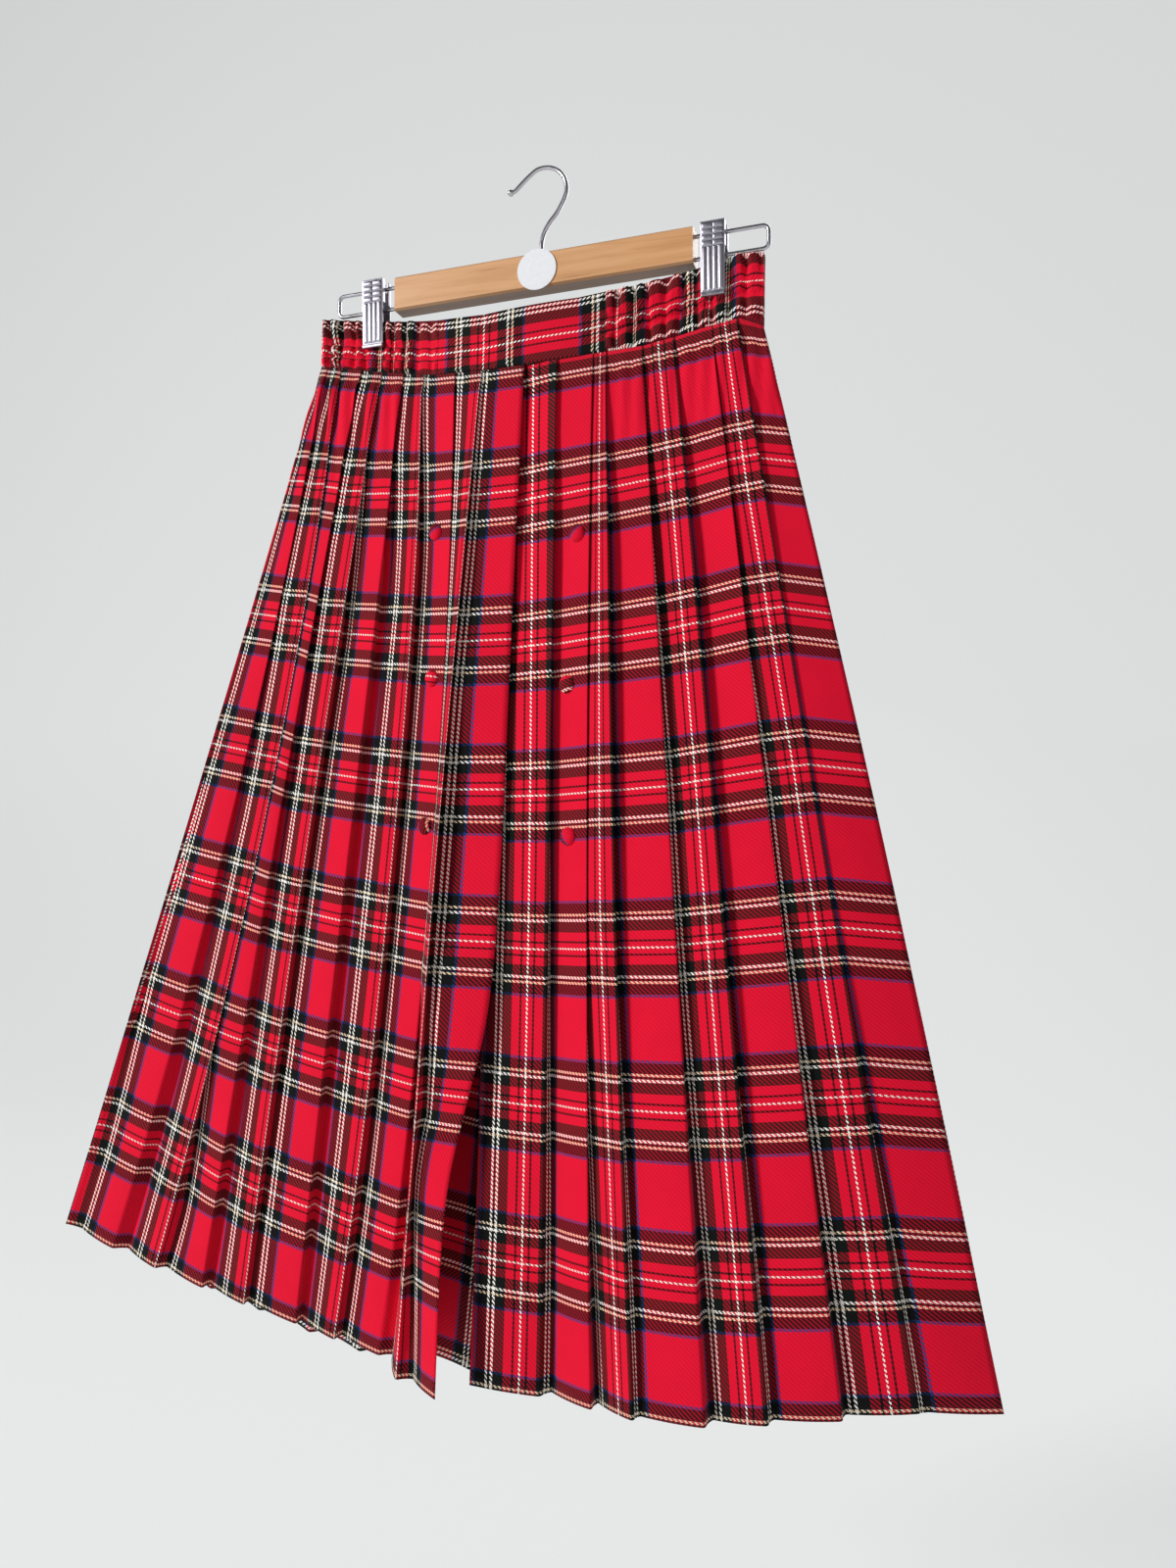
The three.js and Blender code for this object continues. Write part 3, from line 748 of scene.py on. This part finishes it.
back = pleated_cloth(
    "cloth_back",
    {
        "tips": back_tips(),
        "seams": {"start": ((0.12, 0.12), (0.55, 0.55)), "end": ((0.12, -0.5), (0.55, 0.1))},
        "tuck_in": (20,) * BACK_PLEATS,
        "side": "back",
        "undercut": 0.6,
        "lower": 11,
        "sag": BACK_SAG,
        "seed": 120,
    },
)


# The waistband -----------------------------------------------------------------------------------

ELASTIC_ROWS = (20.5, 31.0)  # the stitched rows, measured down from the top edge
BAND_STEP = 0.8
PARTED = 0.1  # each side of a seam in the band
CROWN, DRAWN_IN = 4.8, 1.1  # how far a full gather stands out, and the elastic pulls in
HEADING_DIP = 2.2  # how far the top edge drops between two gathers
CLIP_PLACES = (-143.3, 137.7)
# x, and how far the white middle row lies below the top edge
BAND_WHITE_ROW = (
    (WAIST_LEFT, 27.3),
    (FLAT_FROM, 28.0),
    (FLAT_TO, 26.0),
    (110, 23.0),
    (WAIST_RIGHT, 20.5),
)
FLAT_WHITE = -41.5
GATHERED = {"left": 1.72, "right": 1.65, "back": 1.9}  # cloth cut for each length of waist


def pressed_by_clip(x, down):
    near = min(abs(x - place) for place in CLIP_PLACES)
    return (1 - smoothstep(near, 9, 14)) * (1 - smoothstep(down, 24, 28))


def puff(down, height):
    """How full the cloth stands: high in the heading and low on each row of stitches."""
    stops = (-9, *ELASTIC_ROWS, height + 1)
    for start, end in zip(stops, stops[1:]):
        if down <= end:
            return math.sin(math.pi * clamp((down - start) / (end - start), 0, 1)) ** 0.8
    return 0


def waistband(name, x_from, x_to, depth_at, facing, kind, sag, mark_at):
    gathered = kind != "flat"
    outer_rows = 40 if gathered else 12
    inner_rows = 6
    edge = 0.9
    columns = max(2, round(abs(x_to - x_from) / BAND_STEP))
    vertices, uvs, faces = [], [], []
    for i in range(columns + 1):
        x = lerp(x_from, x_to, i / columns)
        top, seam = waist_z(x, 1, sag), waist_z(x, 2, sag)
        height = top - seam
        middle = depth_at(x)
        white_row = lookup(BAND_WHITE_ROW, clamp(x, WAIST_LEFT, WAIST_RIGHT), 1)
        at_end = smoothstep(min(i, columns - i), 0, 3)
        section = []
        for k in range(outer_rows + 1):
            share = k / outer_rows
            down = share * height
            out = BAND / 2
            dip, mark = 0.0, mark_at(x)
            if gathered:
                angle = ruffle(x, share, 5 * facing)
                ridge = 1 - (0.5 - 0.5 * math.cos(angle)) ** 2.6
                uneven = 0.85 + 0.7 * noise.noise(Vector((x * 0.06, 7.3 * facing, 2.1)))
                full = puff(down, height) * (1 - 0.85 * pressed_by_clip(x, down)) * uneven
                out += at_end * (full * (0.1 + CROWN * ridge) - DRAWN_IN)
                dip = HEADING_DIP * (1 - ridge) * (1 - smoothstep(share, 0, 0.3)) * at_end
                extra = GATHERED[kind] - 1
                turn = math.copysign(1, mark_at(x + 1) - mark_at(x))
                mark -= turn * extra * RUFFLE_PITCH / (2 * math.pi) * math.sin(angle)
                down += 0.5 * math.sin(angle + 0.7) * full
            z = lerp(top - edge, seam + edge, share) - dip
            section.append((x, middle - facing * out, z, mark, down - white_row))
        mark = mark_at(x)
        section.append((x, middle - facing * BAND * 0.3, seam, mark, height - white_row))
        section.append((x, middle + facing * BAND * 0.3, seam, mark, height - white_row))
        for k in range(inner_rows + 1):
            share = 1 - k / inner_rows
            z = lerp(top - edge, seam + edge, share)
            section.append((x, middle + facing * BAND / 2, z, mark, share * height - white_row))
        section.append((x, middle + facing * BAND * 0.3, top, mark, -white_row))
        section.append((x, middle - facing * BAND * 0.3, top, mark, -white_row))
        loop = len(section)
        for px, py, pz, u, v in section:
            vertices.append((px, py, pz))
            uvs.append((v, -u))  # the band is cut across the cloth
    for i in range(columns):
        for k in range(loop):
            a, b = i * loop + k, i * loop + (k + 1) % loop
            faces.append((a, b, b + loop, a + loop))
    faces.append(tuple(range(loop))[::-1])
    faces.append(tuple(columns * loop + k for k in range(loop)))
    return finish_mesh(name, vertices, faces, uvs, TARTAN)


def flat_mark(x):
    return x - FLAT_WHITE


def left_mark(x):
    return flat_mark(FLAT_FROM) + (x - FLAT_FROM) * GATHERED["left"]


def right_mark(x):
    return flat_mark(FLAT_TO) + (x - FLAT_TO) * GATHERED["right"]


def back_mark(x):
    return -x * GATHERED["back"]


band_flat = waistband(
    "band_front_flat", FLAT_FROM + PARTED, FLAT_TO - PARTED, front_y, 1, "flat", 0, flat_mark
)
band_left = waistband(
    "band_front_left", WAIST_LEFT, FLAT_FROM - PARTED, front_y, 1, "left", 0, left_mark
)
band_right = waistband(
    "band_front_right", FLAT_TO + PARTED, WAIST_RIGHT, front_y, 1, "right", 0, right_mark
)
band_back = waistband(
    "band_back", WAIST_RIGHT, WAIST_LEFT, back_y, -1, "back", BACK_SAG, back_mark
)


# Buttons -----------------------------------------------------------------------------------------

BUTTONS = {  # where each one moved on the cloth, its middle's place on the tartan, and its turn
    "left": ((-5, 4.6, 34, 50, 60), (-3.5, 2.3, 50, 1.5, 8), (-5, 0, 50, 30, 80)),
    "right": ((3.2, -5.8, 35, 52, 45), (-1.4, -5.3, 50, 15.5, -15), (4, -5, 37, 52, -30)),
}


def on_cloth(cloth, x, z):
    """Where a line from the front meets the cloth, and the way the cloth faces there."""
    _, place, normal, _ = cloth.ray_cast(Vector((x, -400, z)) * MM, Vector((0, 1, 0)))
    return place / MM, normal


def covered_button(name, cloth, move_x, move_z, mark_across, mark_down, turn):
    """A domed button: a circle of the same cloth drawn over a shell and tucked in behind."""
    box_low, box_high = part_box(name)
    x = (box_low[0] + box_high[0]) / 2 / MM + move_x
    z = (box_low[2] + box_high[2]) / 2 / MM + move_z
    seats = [
        on_cloth(cloth, x + dx, z + dz) for dx, dz in ((0, 0), (4, 0), (-4, 0), (0, 4), (0, -4))
    ]
    normal = sum((way for _, way in seats), Vector()).normalized()
    centre = sum((place for place, _ in seats), Vector()) / len(seats)
    centre += normal * (max((place - centre).dot(normal) for place, _ in seats) - 0.4)
    right_hand = Vector((0, 0, 1)).cross(normal).normalized()
    upward = normal.cross(right_hand).normalized()
    spun = math.radians(turn)
    profile = (  # radius, height
        (0.0, 4.6),
        (1.6, 4.5),
        (3.2, 4.15),
        (4.7, 3.45),
        (5.8, 2.55),
        (6.5, 1.65),
        (6.8, 0.9),
        (6.65, 0.35),
        (6.2, 0.05),
        (4.0, 0.0),
    )
    around = 36
    vertices, uvs, faces = [], [], []
    for radius, out in profile:
        ring = 1 if radius == 0 else around
        for k in range(ring):
            a = 2 * math.pi * k / around
            crease = 1 + 0.012 * math.sin(11 * a + 2) * smoothstep(radius, 4, 6.5)
            across, up = radius * math.cos(a) * crease, radius * math.sin(a) * crease
            vertices.append(centre + right_hand * across + upward * up + normal * out)
            stretch = 1.12 if out > 0.3 else 1.3
            u = (across * math.cos(spun) - up * math.sin(spun)) * stretch
            v = (across * math.sin(spun) + up * math.cos(spun)) * stretch
            uvs.append((mark_across + u, mark_down - v))
    for k in range(around):
        faces.append((0, 1 + k, 1 + (k + 1) % around))
    for r in range(len(profile) - 2):
        for k in range(around):
            a = 1 + r * around + k
            b = 1 + r * around + (k + 1) % around
            faces.append((a, a + around, b + around, b))
    last = 1 + (len(profile) - 2) * around
    faces.append(tuple(last + k for k in range(around))[::-1])
    made = finish_mesh(name + "_cover", vertices, faces, uvs, TARTAN)
    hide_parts(name)
    return made


for side, cloth in (("left", left_front), ("right", right_front)):
    for order, kept in enumerate(BUTTONS[side], start=1):
        covered_button(f"button_{side}_{order}", cloth, *kept)


# Hanger ------------------------------------------------------------------------------------------


HANGER_TILT = math.radians(1.3)
BAR_Z = -82.5
BAR_LENGTH, BAR_HEIGHT = 246, 27.7
WIRE_RADIUS = {"hook": 1.7, "rail": 1.6}
JAW_WIDTH, JAW_HEIGHT, JAW_SHEET = 18.3, 56, 1.1
GRIP_LENGTH, GRIP_ROWS, FLUTES = 19, 4, 4
JAW_TOP = 15.5  # above the bar's centre line
JAW_SPREAD, JAW_BITE = 6.4, 4.9


def on_hanger(x, z, y=0.0):
    """A place on the hanger, which tips a little about the bar's middle."""
    return Vector(
        (
            x * math.cos(HANGER_TILT) - z * math.sin(HANGER_TILT),
            y,
            BAR_Z + x * math.sin(HANGER_TILT) + z * math.cos(HANGER_TILT),
        )
    )


def finish_node(name, material):
    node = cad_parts[name]
    node.data.materials.clear()
    node.data.materials.append(material)


def bent_wire(name, places, radius, node, ball=None):
    """Drawn wire along a path, cut clean at both ends or with a ball at the last one."""
    deselect()
    bpy.ops.curve.primitive_nurbs_path_add(location=(0, 0, 0))
    path = bpy.context.object
    spline = path.data.splines[0]
    spline.points.add(len(places) - len(spline.points))
    for point, place in zip(spline.points, places):
        point.co = (*(place * MM), 1)
    spline.order_u = 3
    spline.use_endpoint_u = True
    spline.resolution_u = 8
    path.data.bevel_depth = radius * MM
    path.data.bevel_resolution = 5
    path.data.use_fill_caps = True
    bpy.ops.object.convert(target="MESH")
    wire = bpy.context.object
    if ball:
        deselect()
        bpy.ops.mesh.primitive_uv_sphere_add(
            segments=24, ring_count=16, radius=ball * MM, location=places[-1] * MM
        )
        tip = bpy.context.object
        wire.select_set(True)
        bpy.context.view_layer.objects.active = wire
        bpy.ops.object.join()
    wire.name = name
    deselect()
    wire.select_set(True)
    bpy.context.view_layer.objects.active = wire
    bpy.ops.object.transform_apply(location=True, rotation=True, scale=True)
    bpy.ops.object.mode_set(mode="EDIT")
    bpy.ops.mesh.select_all(action="SELECT")
    bpy.ops.mesh.remove_doubles(threshold=0.00001)
    bpy.ops.mesh.normals_make_consistent(inside=False)
    bpy.ops.object.mode_set(mode="OBJECT")
    bpy.ops.object.shade_smooth_by_angle(angle=math.radians(40))
    wire.data.materials.clear()
    wire.data.materials.append(WIRE)
    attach(wire, "root")
    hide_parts(node)
    return wire


def hook_places():
    foot = BAR_HEIGHT / 2 + 0.3
    bend = 20
    centre = BAR_HEIGHT / 2 + 70.35 - bend
    plumb = math.tan(HANGER_TILT)
    stem = [(0, foot), (0, foot + 6), (0.2, foot + 12), (2, foot + 18.5), (6.5, foot + 26)]
    stem += [(12.5, foot + 32), (17, centre - 10)]
    arc = [
        (bend * math.cos(math.radians(a)), centre + bend * math.sin(math.radians(a)))
        for a in range(-12, 116, 12)
    ]
    curl = [(-14, 13.4), (-20, 8.2), (-23.8, 4.8), (-26.6, 4.7)]
    curl = [(x, centre + z) for x, z in curl]
    return [on_hanger(x + z * plumb, z) for x, z in stem + arc + curl]


def rail_places(side):
    start, end, spread, corner = BAR_LENGTH / 2 - 3, BAR_LENGTH / 2 + 55, 8.7, 4.5
    run = [(start, spread), (start + 15, spread), (end - 2 * corner, spread)]
    turn = [
        (
            end - corner + corner * math.cos(math.radians(a)),
            spread - corner + corner * math.sin(math.radians(a)),
        )
        for a in (90, 72, 54, 36, 18, 0)
    ]
    half = run + turn + [(end, 0.6)]
    mirrored = [(x, -z) for x, z in reversed(half)]
    return [on_hanger(side * x, z) for x, z in half + mirrored]


bent_wire("hook_wire", hook_places(), WIRE_RADIUS["hook"], "hanger_hook", ball=2.6)
bent_wire("rail_wire_left", rail_places(-1), WIRE_RADIUS["rail"], "rail_left")
bent_wire("rail_wire_right", rail_places(1), WIRE_RADIUS["rail"], "rail_right")


def cut_across(places, normal):
    for place in places:
        bpy.ops.mesh.select_all(action="SELECT")
        bpy.ops.mesh.bisect(plane_co=Vector(place) * MM, plane_no=normal)


def select_faces(piece, wanted):
    """Selects the faces whose middle and normal pass the test, in millimetres."""
    bpy.ops.mesh.select_all(action="DESELECT")
    bpy.ops.mesh.select_mode(type="FACE")
    shape = bmesh.from_edit_mesh(piece.data)
    for face in shape.faces:
        face.select_set(wanted(face.calc_center_median() / MM, face.normal))
    bmesh.update_edit_mesh(piece.data)


def pressed_jaw():
    """A jaw pressed from sheet: scalloped thumb pad, flutes, folded flanges and a rolled lip."""
    deselect()
    bpy.ops.mesh.primitive_cube_add(size=1, location=(0, 0, -JAW_HEIGHT / 2 * MM))
    jaw = bpy.context.object
    jaw.scale = (JAW_WIDTH * MM, JAW_SHEET * MM, JAW_HEIGHT * MM)
    bpy.ops.object.transform_apply(location=True, rotation=True, scale=True)
    bpy.ops.object.mode_set(mode="EDIT")
    rim = 1.0
    inner = JAW_WIDTH - 2 * rim
    cut_across([(x, 0, 0) for x in (-inner / 2, inner / 2)], (1, 0, 0))
    cut_across([(-inner / 2 + inner * k / FLUTES, 0, 0) for k in range(1, FLUTES)], (1, 0, 0))
    row = (GRIP_LENGTH - 1.5) / GRIP_ROWS
    cut_across([(0, 0, -1.5 - row * k) for k in range(GRIP_ROWS + 1)], (0, 0, 1))
    cut_across([(0, 0, -JAW_HEIGHT + h) for h in (3.0, 4.0)], (0, 0, 1))
    # Flutes
    low, high = -JAW_HEIGHT + 4.0, -GRIP_LENGTH - 0.1
    select_faces(
        jaw, lambda c, n: n.y < -0.9 and abs(c.x) < inner / 2 and low < c.z < high
    )
    bpy.ops.mesh.inset(thickness=0.75 * MM, depth=0.75 * MM, use_individual=True)
    bpy.ops.mesh.inset(thickness=0.55 * MM, depth=0.3 * MM, use_individual=True)
    # Thumb pad: each scallop spans two flutes
    for hand in (-1, 1):
        for k in range(GRIP_ROWS):
            top = -1.5 - row * k
            select_faces(
                jaw,
                lambda c, n: n.y < -0.9 and 0 < hand * c.x < inner / 2 and top - row < c.z < top,
            )
            bpy.ops.mesh.inset(thickness=0.5 * MM, depth=0.7 * MM)
            bpy.ops.mesh.inset(thickness=0.8 * MM, depth=0.45 * MM)
    # Lip
    select_faces(jaw, lambda c, n: n.y < -0.9 and c.z < -JAW_HEIGHT + 3.0)
    bpy.ops.mesh.inset(thickness=0.4 * MM, depth=1.1 * MM, use_individual=False)
    # Flanges, folded back on both sides down to where the cloth is held
    select_faces(
        jaw,
        lambda c, n: n.y > 0.9 and abs(c.x) > inner / 2 and c.z > -30,
    )
    bpy.ops.mesh.extrude_region_move(TRANSFORM_OT_translate={"value": (0, 3.4 * MM, 0)})
    bpy.ops.object.mode_set(mode="OBJECT")
    soften = jaw.modifiers.new("eased_edges", "BEVEL")
    soften.width = 0.22 * MM
    soften.segments = 2
    soften.limit_method = "ANGLE"
    soften.angle_limit = math.radians(25)
    apply_modifiers(jaw)
    bpy.ops.object.shade_smooth_by_angle(angle=math.radians(50))
    jaw.data.materials.append(CLIP)
    return jaw


jaw_pattern = pressed_jaw()
for side, x in (("left", -143.5), ("right", 137.5)):
    lean = math.atan((JAW_SPREAD - JAW_BITE) / JAW_HEIGHT)
    for where, facing in (("front", 1), ("back", -1)):
        jaw = bpy.data.objects.new(f"jaw_{side}_{where}", jaw_pattern.data.copy())
        bpy.context.scene.collection.objects.link(jaw)
        turned = Matrix.Rotation(0 if facing > 0 else math.pi, 4, "Z") @ Matrix.Rotation(
            lean, 4, "X"
        )
        seat = Matrix.Translation(Vector((x, -facing * (JAW_SPREAD + 0.5), JAW_TOP)) * MM)
        tip = Matrix.Translation((0, 0, BAR_Z * MM)) @ Matrix.Rotation(-HANGER_TILT, 4, "Y")
        jaw.data.transform(tip @ seat @ turned)
        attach(jaw, "root")
        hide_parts(f"clip_{side}_{where}_jaw")
    finish_node(f"clip_{side}_spring", CLIP)
bpy.data.objects.remove(jaw_pattern)

finish_node("hanger_bar", BEECH)
finish_node("hanger_label", PAPER)

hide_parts("skirt_front_left")
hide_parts("skirt_front_right")
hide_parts("skirt_back")
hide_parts("waistband_front_flat")
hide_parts("waistband_front_left")
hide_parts("waistband_front_right")
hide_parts("waistband_back")

# Stage -------------------------------------------------------------------------------------------


def studio_sweep():
    """A pale floor that turns up into a plain wall far behind."""
    floor, wall, bend, reach = -1.35, 3.2, 1.2, 7.0
    profile = [(-5.0, floor), (wall - bend, floor)]
    for k in range(1, 13):
        a = math.pi / 2 * k / 12
        profile.append((wall - bend + bend * math.sin(a), floor + bend - bend * math.cos(a)))
    profile.append((wall, 5.0))
    vertices = [(x, y, z) for y, z in profile for x in (-reach, reach)]
    faces = [(2 * k, 2 * k + 1, 2 * k + 3, 2 * k + 2) for k in range(len(profile) - 1)]
    data = bpy.data.meshes.new("studio_sweep")
    data.from_pydata(vertices, [], faces)
    for polygon in data.polygons:
        polygon.use_smooth = True
    material, tree, shader = new_material("matt_wall_paint")
    shader.inputs["Base Color"].default_value = linear("#9C9D9D")
    shader.inputs["Roughness"].default_value = 0.9
    shader.inputs["Emission Color"].default_value = linear("#F4F6F6")
    shader.inputs["Emission Strength"].default_value = 0.54
    data.materials.append(material)
    sweep = bpy.data.objects.new("studio_sweep", data)
    bpy.context.scene.collection.objects.link(sweep)


def area_light(name, place, size, power):
    data = bpy.data.lights.new(name, "AREA")
    data.shape = "SQUARE"
    data.size = size
    data.energy = power
    lamp = bpy.data.objects.new(name, data)
    bpy.context.scene.collection.objects.link(lamp)
    lamp.location = place
    towards = Vector((0, 0, -0.5)) - Vector(place)
    lamp.rotation_euler = towards.to_track_quat("-Z", "Y").to_euler()


studio_sweep()
area_light("window", (-3.2, -3.0, 1.1), 0.8, 188)
area_light("room", (1.4, -2.6, 0.2), 1.4, 7)
area_light("behind", (0.5, 2.0, 1.2), 1.6, 30)

world = bpy.data.worlds.new("studio")
bpy.context.scene.world = world
world.use_nodes = True
background = world.node_tree.nodes["Background"]
background.inputs[0].default_value = linear("#F4F6F8")
background.inputs[1].default_value = 0.13

forward = Vector(
    (-math.sin(YAW) * math.cos(PITCH), math.cos(YAW) * math.cos(PITCH), math.sin(PITCH))
)
level_right = Vector((math.cos(YAW), math.sin(YAW), 0))
level_up = level_right.cross(forward)
right = level_right * math.cos(ROLL) + level_up * math.sin(ROLL)
up = -level_right * math.sin(ROLL) + level_up * math.cos(ROLL)
camera_data = bpy.data.cameras.new("camera")
camera_data.lens = LENS_MM
camera_data.sensor_width = 36
camera_data.clip_start = 0.02
camera = bpy.data.objects.new("camera", camera_data)
bpy.context.scene.collection.objects.link(camera)
camera.matrix_world = Matrix.Translation(CAMERA_MM * MM) @ Matrix(
    (
        (right.x, up.x, -forward.x),
        (right.y, up.y, -forward.y),
        (right.z, up.z, -forward.z),
    )
).to_4x4()
bpy.context.scene.camera = camera
bpy.context.scene.view_settings.view_transform = "Standard"
